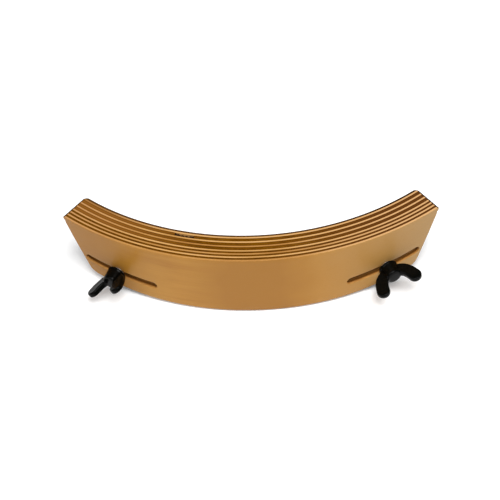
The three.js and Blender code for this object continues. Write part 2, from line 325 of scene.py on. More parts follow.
class Shader:
    """A material with one Principled shader, and short ways to add and join nodes."""

    def __init__(self, name):
        self.material = bpy.data.materials.new(name)
        self.material.use_nodes = True
        self.tree = self.material.node_tree
        self.surface = self.tree.nodes["Principled BSDF"]

    def join(self, value, socket):
        """Links a socket to another node's output, or sets it to a plain value."""
        if isinstance(value, bpy.types.NodeSocket):
            self.tree.links.new(value, socket)
        else:
            socket.default_value = value

    def node(self, kind, inputs, output=0, **settings):
        """Adds a node and returns one of its outputs."""
        made = self.tree.nodes.new(kind)
        for key, value in settings.items():
            setattr(made, key, value)
        for key, value in inputs.items():
            self.join(value, made.inputs[key])
        return made.outputs[output]

    def set(self, **values):
        """Sets inputs of the Principled shader, with _ for the spaces in their names."""
        for key, value in values.items():
            self.join(value, self.surface.inputs[key.replace("_", " ")])

    def math(self, operation, first, second=0.0):
        return self.node("ShaderNodeMath", {0: first, 1: second}, operation=operation)

    def blend(self, *parts):
        """The sum of (value, share) pairs."""
        total = self.math("MULTIPLY", *parts[0])
        for part in parts[1:]:
            total = self.math("ADD", total, self.math("MULTIPLY", *part))
        return total

    def place(self):
        """Where a point is in the row frame, in metres."""
        return self.node("ShaderNodeTexCoord", {}, "Object")

    def laid(self):
        """Where a point of the board is when the board is laid flat: distance, height and depth."""
        return self.node("ShaderNodeAttribute", {}, "Vector", attribute_name="laid")

    def stretched(self, vector, scale, offset=(0, 0, 0)):
        """A place scaled on each axis, so that noise made of it has that many waves per metre."""
        scaled = self.node("ShaderNodeVectorMath", {0: vector, 1: scale}, operation="MULTIPLY")
        return self.node("ShaderNodeVectorMath", {0: scaled, 1: offset}, operation="ADD")

    def noise(self, vector, scale=1.0, detail=4.0, roughness=0.5, distortion=0.0):
        inputs = {"Vector": vector, "Scale": scale, "Detail": detail}
        inputs.update({"Roughness": roughness, "Distortion": distortion})
        return self.node("ShaderNodeTexNoise", inputs, "Fac")

    def ramp(self, value, stops):
        """A colour for each value; the stops are (value, colour) pairs."""
        made = self.tree.nodes.new("ShaderNodeValToRGB")
        points = made.color_ramp.elements
        while len(points) < len(stops):
            points.new(0.5)
        for point, (position, colour) in zip(points, stops):
            point.position = position
            point.color = (*colour, 1)
        self.join(value, made.inputs["Fac"])
        return made.outputs["Color"]

    def spread(self, value, low, high, new_low=0.0, new_high=1.0):
        """Maps the stretch from low to high onto another one, and holds the value beyond its ends."""
        inputs = {"Value": value, "From Min": low, "From Max": high}
        inputs.update({"To Min": new_low, "To Max": new_high})
        return self.node("ShaderNodeMapRange", inputs)

    def mix(self, factor, first, second):
        """A colour between two; the inputs go by number, as all the node's data types share names."""
        made = self.tree.nodes.new("ShaderNodeMix")
        made.data_type = "RGBA"
        self.join(factor, made.inputs[0])
        for colour, socket in ((first, made.inputs[6]), (second, made.inputs[7])):
            self.join((*colour, 1) if isinstance(colour, tuple) else colour, socket)
        return made.outputs[2]

    def drift(self, wander, colour, target, start, end, amount=1.0):
        """Turns a colour into another while the distance along the board goes from start to end."""
        distance = self.node("ShaderNodeSeparateXYZ", {"Vector": self.laid()}, "X")
        wavy = self.math("ADD", distance, self.math("MULTIPLY", wander, DRIFT_WAVER))
        return self.mix(self.spread(wavy, start, end, 0.0, amount), colour, target)

    def bump(self, height, distance, strength):
        inputs = {"Height": height, "Distance": distance, "Strength": strength}
        return self.node("ShaderNodeBump", inputs, "Normal")


def srgb(red, green, blue):
    """A colour given in 0 to 255 steps, as linear light."""
    values = [value / 255 for value in (red, green, blue)]
    return tuple(v / 12.92 if v <= 0.04045 else ((v + 0.055) / 1.055) ** 2.4 for v in values)


def wood(name, pale, mid, deep, seed, gloss, contrast, drifts=()):
    """Lacquered veneer. Its fibres run along the board: fine lines on its faces and its edges alike.

    drifts lists the colours that it turns into along the board, as in Shader.drift.
    """
    shader = Shader(name)
    laid = shader.laid()
    shift = (seed * 3.1, seed * 7.7, seed * 5.3)
    fibre = shader.noise(shader.stretched(laid, (70, 2400, 2400), shift), detail=3, roughness=0.6)
    band = shader.noise(shader.stretched(laid, (11, 240, 240), shift), detail=3, distortion=0.6)
    cloud = shader.noise(shader.stretched(laid, (28, 38, 38), shift), detail=2)
    fleck = shader.noise(shader.stretched(laid, (430, 3600, 3600), shift), detail=1)
    tone = shader.blend((fibre, 0.35), (band, 0.3), (cloud, 0.35))
    tone = shader.spread(tone, 0.5 - 0.14 / contrast, 0.5 + 0.14 / contrast)
    colour = shader.ramp(tone, [(0.0, deep), (0.5, mid), (1.0, pale)])
    for drift in drifts:
        colour = shader.drift(cloud, colour, *drift)
    flecks = shader.spread(fleck, 0.62, 0.72)
    colour = shader.mix(shader.math("MULTIPLY", flecks, 0.35), colour, deep)
    shader.set(Base_Color=colour, Roughness=shader.spread(fibre, 0.3, 0.7, gloss, gloss + 0.12))
    height = shader.math("SUBTRACT", fibre, shader.math("MULTIPLY", flecks, 0.5))
    shader.set(Normal=shader.bump(height, 0.00003, 0.5))
    shader.set(Coat_Weight=0.06, Coat_Roughness=0.25, Specular_IOR_Level=0.16)
    return shader.material


def dark_wood(name, pale, mid, deep, seed, across, near, far, drifts=()):
    """Stained veneer, with flecks and patches where the stain took more or less, and darker glue lines.

    across says how fast the patches change across the board. near and far are the veneer's depths,
    and drifts lists the colours that it turns into along the board, as in Shader.drift.
    """
    shader = Shader(name)
    laid = shader.laid()
    shift = (seed * 2.3, seed * 4.9, seed * 8.1)
    patch_at = shader.stretched(laid, (0.35 * across, across, across), shift)
    patch = shader.noise(patch_at, detail=4, roughness=0.65)
    fleck_at = shader.stretched(laid, (2 * across, 6 * across, 6 * across), shift)
    fleck = shader.noise(fleck_at, detail=3, roughness=0.7)
    cloud = shader.noise(shader.stretched(laid, (18, 40, 40), shift), detail=2)
    tone = shader.spread(shader.blend((patch, 0.5), (fleck, 0.3), (cloud, 0.2)), 0.36, 0.66)
    colour = shader.ramp(tone, [(0.0, deep), (0.5, mid), (1.0, pale)])
    for drift in drifts:
        colour = shader.drift(patch, colour, *drift)
    depth = shader.node("ShaderNodeSeparateXYZ", {"Vector": laid}, "Z")
    from_near = shader.math("SUBTRACT", depth, near)
    from_far = shader.math("SUBTRACT", far, depth)
    glue = shader.spread(shader.math("MINIMUM", from_near, from_far), 0.1 * MM, 0.7 * MM, 0.75, 0.0)
    colour = shader.mix(glue, colour, deep)
    shader.set(Base_Color=colour, Roughness=shader.spread(fleck, 0.3, 0.7, 0.45, 0.65))
    shader.set(Normal=shader.bump(fleck, 0.00004, 0.5))
    shader.set(Specular_IOR_Level=0.03)
    return shader.material


def end_grain(name, pale, deep, seed):
    """Veneer cut across its fibres: open pores in rows, and darker where the lacquer soaked in."""
    shader = Shader(name)
    laid = shader.laid()
    shift = (seed * 1.7, seed * 3.3, seed * 6.1)
    pore = shader.noise(shader.stretched(laid, (1500, 2600, 6500), shift), detail=3, roughness=0.7)
    soak = shader.noise(shader.stretched(laid, (200, 260, 700), shift), detail=2)
    tone = shader.blend((pore, 0.6), (soak, 0.4))
    shader.set(Base_Color=shader.ramp(tone, [(0.35, deep), (0.65, pale)]))
    shader.set(Roughness=shader.spread(pore, 0.3, 0.7, 0.5, 0.7), Specular_IOR_Level=0.08)
    shader.set(Normal=shader.bump(pore, 0.00004, 0.6))
    return shader.material


def moulded(name, colour, roughness, grain, gloss=0.12, sheen=0.0):
    """Moulded plastic or rubber: a fine grain, faint flow marks and a little pale dust."""
    shader = Shader(name)
    place = shader.place()
    fine = shader.noise(shader.stretched(place, (grain,) * 3), detail=3, roughness=0.6)
    flow = shader.noise(shader.stretched(place, (160,) * 3), detail=3, distortion=1.2)
    scuff = shader.noise(shader.stretched(place, (700, 700, 2500)), detail=4, roughness=0.7)
    dust = shader.math("MULTIPLY", shader.spread(scuff, 0.6, 0.78), 0.2)
    dusty = tuple(0.006 + 1.9 * channel for channel in colour)
    lighter = tuple(1.35 * channel for channel in colour)
    tinted = shader.mix(shader.spread(flow, 0.35, 0.7), colour, lighter)
    shader.set(Base_Color=shader.mix(dust, tinted, dusty))
    rough = shader.spread(flow, 0.3, 0.7, roughness - 0.06, roughness + 0.06)
    shader.set(Roughness=shader.math("ADD", rough, dust), Normal=shader.bump(fine, 0.00003, 0.35))
    shader.set(Specular_IOR_Level=gloss)
    if sheen:
        shader.set(Sheen_Weight=sheen, Sheen_Roughness=0.5)
    return shader.material


def metal(name, colour, roughness, metallic=1.0, patina=None):
    """Plated or plain metal with fine handling scratches and duller patches."""
    shader = Shader(name)
    place = shader.place()
    scratch = shader.noise(shader.stretched(place, (500, 6000, 900)), detail=3, roughness=0.7)
    patch = shader.noise(shader.stretched(place, (260,) * 3), detail=4, roughness=0.6)
    dull = patina or tuple(0.55 * channel for channel in colour)
    shader.set(Base_Color=shader.mix(shader.spread(patch, 0.45, 0.75, 0.0, 0.6), colour, dull))
    rough = shader.spread(patch, 0.3, 0.7, roughness, roughness + 0.15)
    rough = shader.math("ADD", rough, shader.spread(scratch, 0.55, 0.75, 0.0, 0.12))
    shader.set(Metallic=metallic, Roughness=rough, Normal=shader.bump(scratch, 0.00001, 0.5))
    return shader.material


# Each veneer's pale, middling and deep colour, and its drifts: the colour that it turns into, the
# distances where that starts and is complete, and how much of it there is in the end. Some drifts
# are painted light and shade, as noted at each.
FACE = srgb(172, 124, 49), srgb(163, 114, 41), srgb(148, 98, 30)
# The face's drifts are painted light and shade: painted shade through the middle, back to the face's own
# tone past it, a paler, greyer painted sheen towards the +X end, and painted shade towards the -X end.
FACE_PAINTED_LIGHT_AND_SHADE = (
    (srgb(149, 101, 33), -0.03, 0.003),
    (FACE[1], 0.035, 0.062),
    (srgb(161, 126, 76), 0.05, 0.145),
    (srgb(149, 101, 32), -0.04, -0.09),
)
LIGHT_EDGE = srgb(198, 153, 98), srgb(188, 142, 83), srgb(163, 116, 56)
# The light veneers' edges turn paler and greyer towards the +X end: a painted sheen.
LIGHT_RIGHT_SHEEN = (srgb(192, 148, 98), 0.04, 0.12)
# They turn darker towards the -X end: painted shade.
LIGHT_LEFT_SHADE = (srgb(172, 125, 76), -0.06, -0.12)
FAINT_EDGE = srgb(177, 131, 74), srgb(164, 116, 57), srgb(140, 91, 38)
DARK_EDGE = srgb(117, 76, 7), srgb(101, 60, 1), srgb(69, 38, 0)
DARK_RIGHT = (srgb(84, 48, 15), 0.02, 0.11)
DARK_LEFT = (srgb(124, 78, 29), -0.02, -0.09, 0.85)
# The edge of the light veneer next to the back darkens more towards the -X end: painted shade.
SHADED_LEFT_END = (srgb(128, 82, 32), -0.035, -0.1, 0.8)
# End grain at the tips: somewhat darker, as lacquered end grain is, and near black with painted shade of
# the ends turned from the light.
SHADED_END_GRAIN = srgb(54, 30, 11), srgb(32, 17, 5)
LIGHT_SLOT = srgb(176, 126, 66), srgb(142, 94, 42)
DARK_SLOT = srgb(128, 84, 32), srgb(96, 56, 14)
BACK_EDGE = srgb(96, 64, 30), srgb(80, 50, 20), srgb(58, 34, 10)
# The back veneer's edge darkens to near black towards the +X end: painted shade of its rounded edge.
BACK_EDGE_RIGHT_SHADE = (srgb(44, 26, 10), 0.05, 0.12, 0.9)
BACK = srgb(96, 58, 22), srgb(80, 44, 12), srgb(60, 31, 6)
FAINT_PLIES = ("ply_01_light", "ply_05_light", "ply_09_light")  # with darker edges than the rest
SHADED_END_PLY = "ply_13_light"  # its edge darkens more towards the -X end than the others: painted shade
THICK_PLY = 2 * MM  # veneers thicker than this took less stain at the -X end
EDGE_PATCHES = 420  # waves per metre
BACK_PATCHES = 300
ON_EDGE, ON_END, ON_SLOT, ON_BROAD_SIDE = range(4)  # the order of a veneer's materials
BROAD_SIDE_TILT = 0.9  # a face that points this much out of the board is on its broad side
END_GRAIN_TILT = 0.08  # one that leans this much along the board shows end grain


def light_veneer(name, seed):
    """The material of a light veneer's long edges."""
    edge = FAINT_EDGE if name in FAINT_PLIES else LIGHT_EDGE
    left = SHADED_LEFT_END if name == SHADED_END_PLY else LIGHT_LEFT_SHADE
    return wood(f"{name}_edge", *edge, seed, 0.45, 1.0, [LIGHT_RIGHT_SHEEN, left])


def dark_veneer(name, near, far, seed):
    """The material of a dark veneer's long edges."""
    if name == PLIES[-1]:
        return dark_wood(f"{name}_edge", *BACK_EDGE, seed, EDGE_PATCHES, near, far, [BACK_EDGE_RIGHT_SHADE])
    drifts = [DARK_RIGHT, DARK_LEFT] if far - near > THICK_PLY else [DARK_RIGHT]
    return dark_wood(f"{name}_edge", *DARK_EDGE, seed, EDGE_PATCHES, near, far, drifts)


def veneer_materials(name, near, far):
    """A veneer's materials: on its long edges, its ends, in the slots, and on the board's broad side."""
    seed = PLIES.index(name) + 1
    light = name.endswith("light")
    edge = light_veneer(name, seed) if light else dark_veneer(name, near, far, seed)
    end = end_grain(f"{name}_end", *SHADED_END_GRAIN, seed)
    wall = end_grain(f"{name}_slot", *(LIGHT_SLOT if light else DARK_SLOT), seed)
    materials = [edge, end, wall]
    if name == PLIES[0]:
        materials.append(wood("face_veneer", *FACE, seed, 0.38, 0.8, FACE_PAINTED_LIGHT_AND_SHADE))
    elif name == PLIES[-1]:
        materials.append(dark_wood("back_veneer", *BACK, seed, BACK_PATCHES, near - MM, far + MM))
    return materials


MATERIALS = {
    "black_moulding": moulded("black_moulding", srgb(4, 4, 3), 0.14, 5200, gloss=0.06),
    "black_nylon": moulded("black_nylon", srgb(28, 28, 28), 0.5, 4200),
    "rubber": moulded("rubber", srgb(22, 22, 22), 0.75, 6500, sheen=0.1),
    "black_steel": metal("black_steel", srgb(24, 24, 25), 0.42, metallic=0.25),
    "zinc_steel": metal("zinc_steel", srgb(190, 193, 198), 0.26),
    "brass": metal("brass", srgb(214, 176, 96), 0.28, patina=srgb(150, 110, 50)),
}

# ---------------------------------------------------------------- board


def lower_edge():
    """The lower edge laid flat, from the middle to just past the tip, as distances and heights."""
    end_rise = TOP - BOTTOM - END_FOOT_HEIGHT
    curve_distance = np.linspace(0, CORNER_START, 60)
    curve_height = EDGE_RISE * (curve_distance / EDGE_RISE_AT) ** EDGE_POWER

    corner_height = EDGE_RISE * (CORNER_TIP / EDGE_RISE_AT) ** EDGE_POWER
    corner_distance = END_FOOT - (TIP - END_FOOT) / end_rise * (END_FOOT_HEIGHT - corner_height)
    t = np.linspace(0, 1, 13)[1:]
    turn = np.array([(1 - t) ** 2, 2 * t * (1 - t), t**2]).T
    turn_distance = turn @ np.array([CORNER_START, corner_distance, END_FOOT])
    turn_height = turn @ np.array([curve_height[-1], corner_height, END_FOOT_HEIGHT])

    past = np.linspace(0, 1.2, 13)[1:]
    end_distance = END_FOOT + past * (TIP - END_FOOT)
    end_height = END_FOOT_HEIGHT + past * end_rise
    distance = np.concatenate([curve_distance, turn_distance, end_distance])
    height = np.concatenate([curve_height, turn_height, end_height])
    return distance, height + BOTTOM


LOWER_DISTANCE, LOWER_HEIGHT = lower_edge()
BROAD_ROWS = (4, 10)  # rows of faces below and above the slots, on the outermost veneers
INNER_ROWS = (1, 1)


def rounding(depth, radius):
    """How far an edge rounded to a radius stands back at a depth below its face."""
    left = max(radius - depth, 0.0)
    return radius - math.sqrt(radius * radius - left * left)


def slot_opening(distance, grow, closing):
    """Half the slot's height at a distance from the middle, with its rim grown outward.

    closing makes the ends' roundness longer along the board, as in layer.
    """
    half = SLOT_WIDTH / 2 + grow
    beyond = np.maximum(np.abs(distance - SLOT_MIDDLE) / math.cos(SLOT_SLOPE) - SLOT_STRAIGHT / 2, 0)
    return np.sqrt(np.maximum(half**2 - (closing * beyond) ** 2, 0)) / math.cos(SLOT_SLOPE)


def half_columns():
    """Distances of the mesh's columns on one half: closest at the void, the slot's ends and the tip."""
    swing = np.radians(np.linspace(0, 90, 8))
    zones = [
        np.arange(0, FINE_START, 2 * MM),
        np.arange(FINE_START, FINE_END, 0.7 * MM),
        np.linspace(FINE_END, SLOT_START - SLOT_TURN - 1 * MM, 5),
        SLOT_START - SLOT_TURN * np.cos(swing),
        np.linspace(SLOT_START, SLOT_END, 34)[1:],
        SLOT_END + SLOT_TURN * np.sin(swing)[1:],
        np.linspace(SLOT_TIP, TIP - TIP_RUN, 15)[2:],
        TIP - TIP_RUN + TIP_ROUND * np.sin(swing)[1:],
    ]
    return np.concatenate(zones)


COLUMNS = half_columns()
NEAR_PART = 1e-5  # columns on a border may be off it by this part of their distance
PAST_SLOT = COLUMNS > SLOT_TIP * (1 + NEAR_PART)
AT_TIP = COLUMNS > (TIP - TIP_RUN) * (1 + NEAR_PART)
AT_SLOT_START = (COLUMNS > (SLOT_START - SLOT_TURN) * (1 - NEAR_PART)) & (COLUMNS < SLOT_START)
AT_SLOT_END = (COLUMNS > SLOT_END) & ~PAST_SLOT


def sanded_edge(inset, end_inset):
    """The lower edge stood back by inset, and by end_inset at the tips, as distances and heights."""
    slope = np.arctan2(np.gradient(LOWER_HEIGHT), np.gradient(LOWER_DISTANCE))
    blend = np.clip((LOWER_DISTANCE - CORNER_START) / (TIP - CORNER_START), 0, 1)
    offset = inset + (end_inset - inset) * blend
    return LOWER_DISTANCE - offset * np.sin(slope), LOWER_HEIGHT + offset * np.cos(slope)


def layer_columns(tip, growth):
    """The columns' distances where the slot's ends are grown by a factor and the board ends at tip."""
    distance = COLUMNS.copy()
    distance[AT_SLOT_START] = SLOT_START + (COLUMNS[AT_SLOT_START] - SLOT_START) * growth
    distance[AT_SLOT_END] = SLOT_END + (COLUMNS[AT_SLOT_END] - SLOT_END) * growth
    grown_tip = SLOT_END + SLOT_TURN * growth
    stretch = (tip - TIP_RUN - grown_tip) / (TIP - TIP_RUN - SLOT_TIP)
    distance[PAST_SLOT] = grown_tip + (COLUMNS[PAST_SLOT] - SLOT_TIP) * stretch
    distance[AT_TIP] = COLUMNS[AT_TIP] + tip - TIP
    return distance


def slot_middle(distance, depth, low, crest):
    """The height of the line that the slot follows, carried on from the slot's tip to the board's."""
    angle = (np.maximum(distance, SLOT_START - SLOT_TURN) - SLOT_MIDDLE) / FACE_RADIUS
    middle = BEND.z + math.tan(SLOT_SLOPE) * (FACE_RADIUS - depth) * np.sin(angle)
    last = np.flatnonzero(~PAST_SLOT)[-1]
    share = (middle[last] - low[last]) / (crest[0] - low[last])
    middle[PAST_SLOT] = low[PAST_SLOT] + share * (crest[PAST_SLOT] - low[PAST_SLOT])
    return middle


def layer(depth, dip, rows):
    """One side's columns at a depth: their distances, the heights of their rows, and which are open.

    rows says how many rows of faces there are below and above the slot.
    """
    front, back = depth, THICKNESS - depth
    front_inset = rounding(front, FACE_ROUND) + dip
    inset = front_inset + rounding(back, BACK_ROUND)
    edge_distance, edge_height = sanded_edge(inset, front_inset + rounding(back, BACK_END_ROUND))
    top = TOP - inset
    tip = np.interp(top, edge_height, edge_distance)

    rim = rounding(front, SLOT_ROUND) + rounding(back, SLOT_ROUND)
    closing = 1 - depth / FACE_RADIUS  # the same distance spans less of the board deeper in
    distance = layer_columns(tip, (1 + rim / (SLOT_WIDTH / 2)) / closing)

    low = np.interp(distance, edge_distance, edge_height)
    crest = np.full(len(distance), top)
    swell = np.sqrt(np.maximum(TIP_ROUND**2 - (distance[AT_TIP] - tip + TIP_RUN) ** 2, 0))
    crest[AT_TIP] = top - TIP_ROUND + swell
    low[AT_TIP] = np.maximum(low[AT_TIP], top - TIP_ROUND - swell)
    low[-1] = crest[-1]

    middle = slot_middle(distance, depth, low, crest)
    opening = slot_opening(distance, rim, closing)
    opening[opening < 1e-6] = 0  # a gap of less than a micrometre is closed
    below, above = rows
    slot_low, slot_high = middle - opening, middle + opening
    lower_rows = low[:, None] + np.linspace(0, 1, below + 1) * (slot_low - low)[:, None]
    upper_rows = slot_high[:, None] + np.linspace(0, 1, above + 1) * (crest - slot_high)[:, None]
    return distance, np.hstack([lower_rows, upper_rows]), opening > 0


def whole_layer(depth, dip, rows, name):
    """Both sides' columns at a depth, from the left tip to the right one."""
    distance, heights, open_here = layer(depth, dip, rows)
    distance = np.concatenate([-distance[:0:-1], distance])
    heights = np.vstack([heights[:0:-1], heights])
    open_here = np.concatenate([open_here[:0:-1], open_here])
    if name == VOID_PLY:
        share = np.clip((distance - VOID_START) / (VOID_END - VOID_START), 0, 1)
        ragged = 1 + 0.25 * np.sin(2.1 * distance / MM) + 0.15 * np.sin(5.3 * distance / MM)
        heights[:, -1] -= VOID_DEPTH * np.sin(math.pi * share) ** 0.5 * ragged
    return distance, heights, open_here


def depth_steps(near, far):
    """The depths at which a veneer's rounded edges need a ring of points."""
    swing = np.radians([0, 22.5, 45, 67.5, 90])
    steps = [near, far]
    for radius in (SLOT_ROUND, FACE_ROUND):
        steps.extend(radius * (1 - np.cos(swing)))
    for radius in (SLOT_ROUND, BACK_ROUND, BACK_END_ROUND):
        steps.extend(THICKNESS - radius * (1 - np.cos(swing)))
    inside = sorted(step for step in steps if near <= step <= far)
    kept = [inside[0]]
    for step in inside[1:]:
        if step - kept[-1] > 0.02 * MM:
            kept.append(step)
    kept[-1] = far
    return kept


def bent(distance, height, depth):
    """The place in the row frame of a point of the board laid flat."""
    angle = distance / FACE_RADIUS
    radius = FACE_RADIUS - depth
    return (radius * math.sin(angle), BEND.y - radius * math.cos(angle), height)


def veneer(name, near, far, rows):
    """One veneer: a front and a back grid with the slots open, joined by strips round every edge."""
    dip = DARK_EDGE_DIP if name.endswith("dark") else 0.0
    steps = depth_steps(near, far)
    points = []
    layers = [whole_layer(step, dip, rows, name) for step in steps]
    columns, width = layers[0][1].shape
    for step, (distance, heights, _) in zip(steps, layers):
        for column in range(columns):
            points.extend(bent(distance[column], height, step) for height in heights[column])
    open_here = layers[0][2]
    below = rows[0]

    def index(level, column, row):
        return (level * columns + column) * width + row

    faces = []
    last = len(steps) - 1
    for column in range(columns - 1):
        beside = column + 1
        for row in range(width - 1):
            if row == below:
                continue
            for level in (0, last):
                corners = ((column, row), (beside, row), (beside, row + 1), (column, row + 1))
                faces.append(tuple(index(level, *corner) for corner in corners))
        rims = [0, width - 1]
        if open_here[column] or open_here[beside]:
            rims += [below, below + 1]
        for row in rims:
            for level in range(last):
                under = level + 1
                corners = ((level, column), (level, beside), (under, beside), (under, column))
                faces.append(tuple(index(*corner, row) for corner in corners))
    piece = new_object(name, mesh_from(name, points, faces))
    finish_mesh(piece.data, sharp_angle=35)
    return piece


def tag_laid(mesh):
    """Stores, for the wood materials, where each point is when the board is laid flat."""
    places = np.array([vertex.co for vertex in mesh.vertices])
    radius = np.hypot(places[:, 0], BEND.y - places[:, 1])
    distance = FACE_RADIUS * np.arctan2(places[:, 0], BEND.y - places[:, 1])
    laid = np.stack([distance, places[:, 2], FACE_RADIUS - radius], axis=1)
    attribute = mesh.attributes.new("laid", "FLOAT_VECTOR", "POINT")
    attribute.data.foreach_set("vector", laid.astype(np.float32).ravel())


def sort_faces(mesh):
    """Gives each face of a veneer its material, in the order of veneer_materials."""
    broad_side = ON_BROAD_SIDE if len(mesh.materials) > ON_BROAD_SIDE else ON_EDGE
    for polygon in mesh.polygons:
        radial = Vector((polygon.center.x, polygon.center.y - BEND.y, 0)).normalized()
        tangent = Vector((-radial.y, radial.x, 0))
        distance = FACE_RADIUS * math.atan2(abs(radial.x), -radial.y)
        if abs(polygon.normal.dot(radial)) > BROAD_SIDE_TILT:
            polygon.material_index = broad_side
        elif distance < SLOT_TIP and BOTTOM + SLOT_CLEAR < polygon.center.z < TOP - SLOT_CLEAR:
            polygon.material_index = ON_SLOT
        elif abs(polygon.normal.dot(tangent)) > END_GRAIN_TILT:
            polygon.material_index = ON_END


def make_board():
    for name, near, far in zip(PLIES, PLY_EDGES, PLY_EDGES[1:]):
        outermost = name in (PLIES[0], PLIES[-1])
        piece = veneer(name, near, far, BROAD_ROWS if outermost else INNER_ROWS)
        tag_laid(piece.data)
        settle(piece, name, "board", veneer_materials(name, near, far))
        sort_faces(piece.data)


make_board()

# ---------------------------------------------------------------- fasteners and feet, in millimetres

FIT = 0.1  # between pieces that rest on each other
BOARD = THICKNESS / MM
BEND_RADIUS = FACE_RADIUS / MM

BOLT_RADIUS = 2.5
BOLT_REACH = 8.8
BOLT_HEAD_RADIUS = 6.3
BOLT_HEAD_HEIGHT = 2.6
NECK = 5.0  # the square under the bolt's head
THREAD_PITCH = 0.8
THREAD_DEPTH = 0.3
THREAD_LENGTH = 22.0
THREAD_ROWS = 8  # the mesh's rows for each turn of the thread
WASHER_RADIUS = 5.0
WASHER_THICKNESS = 1.4
NUT_BASE = 2 * FIT + WASHER_THICKNESS
INSERT_RADIUS = 3.8
HUB_RADIUS = 6.6
HUB_HEIGHT = 9.2
HUB_CAP = 1.4
WING_THICKNESS = 3.8
WING_SWELL = 1.12  # how much thicker it is where it leaves the hub
WING_TAPER = 0.018  # how much of that goes with each millimetre further out
WING_DISH = 0.35
WING_TIP_OUT = 11.9
WING_TIP_UP = 15.2
WING_TIP_RADIUS = 4.5
WING_ROOT = 1.4  # the lowest point where a wing leaves the hub
NUT_VOXEL = 0.24  # the mesh size of the nut's skin

SHOE_LENGTH = 24.0
SHOE_WIDTH = 14.0
SHOE_THICKNESS = 1.7
SHOE_FACE = -BOARD - FIT - SHOE_THICKNESS
PLATE_THICKNESS = 1.8
PLATE_FACE = SHOE_FACE - FIT
PLATE_BACK = PLATE_FACE - PLATE_THICKNESS
ARM_WIDTH = 8.0
ARM_MARGIN = 3.6  # from a pin's axis to the arm's end
PIN_RADIUS = 1.6
SLEEVE_RADIUS = 4.6
SLEEVE_LENGTH = 9.5
SLEEVE_NOSE = 2.2  # the rubber beyond its pin


def bolt_place(side):
    """Where one bolt's axis leaves the board: Z out of the bulging face, X along the slot to the tip."""
    out = Vector(JOINTS[f"{side}_foot_swivel"]["axis"]).normalized()
    along = Vector(JOINTS[f"{side}_slot_travel"]["axis"]).cross(out).normalized()
    across = out.cross(along)
    turn = Matrix((along, across, out)).transposed().to_4x4()
    return Matrix.Translation(JOINTS[f"{side}_foot_swivel"]["pos_m"]) @ turn


def local_centre(place, node):
    low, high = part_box(node)
    return place.inverted() @ ((low + high) / 2) / MM


def foot_place(side):
    """The bolt's place turned so that X points to the middle between the fork's pins."""
    place = bolt_place(side)
    upper = local_centre(place, f"{side}_upper_pin")
    lower = local_centre(place, f"{side}_lower_pin")
    middle = (upper + lower) / 2
    return place @ Matrix.Rotation(math.atan2(middle.y, middle.x), 4, "Z")


def nut_place(side):
    """The bolt's place turned so that X runs along the wings, whose tips reach furthest out."""
    place = bolt_place(side)
    inverse = place.inverted()
    corners = [inverse @ vertex.co for vertex in frame["nodes"][f"{side}_wing_nut"].data.vertices]
    reach = max(math.hypot(corner.x, corner.y) for corner in corners)
    doubled = Vector((0, 0))  # angles are doubled, so that both wings point the same way
    for corner in corners:
        if math.hypot(corner.x, corner.y) > 0.75 * reach:
            angle = 2 * math.atan2(corner.y, corner.x)
            doubled += Vector((math.cos(angle), math.sin(angle)))
    return place @ Matrix.Rotation(math.atan2(doubled.y, doubled.x) / 2, 4, "Z")


def wing_outline():
    """One wing seen square to its flat side: out from the axis in X, up from the nut's base in Y."""
    tip = arc(WING_TIP_OUT, WING_TIP_UP, WING_TIP_RADIUS, -30, 165, 22)
    root = (4.2, WING_ROOT)
    under = bezier(root, (9.2, 1.8), (13.6, 5.4), tip[0], 12)
    over = bezier(tip[-1], (6.6, 12.8), (6.0, 10.2), (3.4, HUB_HEIGHT), 12)
    return [(0, WING_ROOT), root, *under, *tip[1:], *over, (0, HUB_HEIGHT)]


def wing(turn):
    """A wing turned about the nut's axis: thinner towards its tip, and slightly dished for a thumb."""
    piece = extrusion("wing", wing_outline(), -WING_THICKNESS / 2, WING_THICKNESS / 2)
    bevel(piece, 1.0, segments=4, angle=50)
    for vertex in piece.data.vertices:
        out = max(0.0, vertex.co.x - HUB_RADIUS)
        away = math.hypot(vertex.co.x - WING_TIP_OUT, vertex.co.y - WING_TIP_UP) / WING_TIP_RADIUS
        dish = WING_DISH * max(0.0, 1 - away * away)
        vertex.co.z *= WING_SWELL - WING_TAPER * out - dish / WING_THICKNESS * 2
    piece.data.transform(Matrix.Rotation(turn, 4, "Z") @ Matrix.Rotation(math.radians(90), 4, "X"))
    return piece


def wing_nut():
    """A moulded nut: a flanged, tapering hub with a closed, slightly domed end, and two wings."""
    shoulder = [(1.0, -1.1), (1.3, -0.4), (2.0, -0.1), (3.4, 0.1)]  # inward and up from the rim
    profile = [(0, -2), (HUB_RADIUS, -2), (HUB_RADIUS, 0.8), (HUB_RADIUS - 0.3, 1.6)]
    profile += [(HUB_RADIUS - inward, HUB_HEIGHT + up) for inward, up in shoulder]
    profile.append((0, HUB_HEIGHT + 0.15))
    piece = join([lathe("hub", profile, 96), wing(0), wing(math.pi)])
    remesh = piece.modifiers.new("one skin", "REMESH")
    remesh.mode = "VOXEL"
    remesh.voxel_size = NUT_VOXEL
    soften = piece.modifiers.new("fillets", "SMOOTH")
    soften.factor = 0.5
    soften.iterations = 6
    apply_modifiers(piece)
    top = HUB_HEIGHT - HUB_CAP
    bore = INSERT_RADIUS + 0.1
    below = [(0, -3), (2 * HUB_RADIUS, -3), (2 * HUB_RADIUS, 0)]
    cut(piece, lathe("below and bore", [*below, (bore, 0), (bore, top), (0, top)], 48))
    return piece


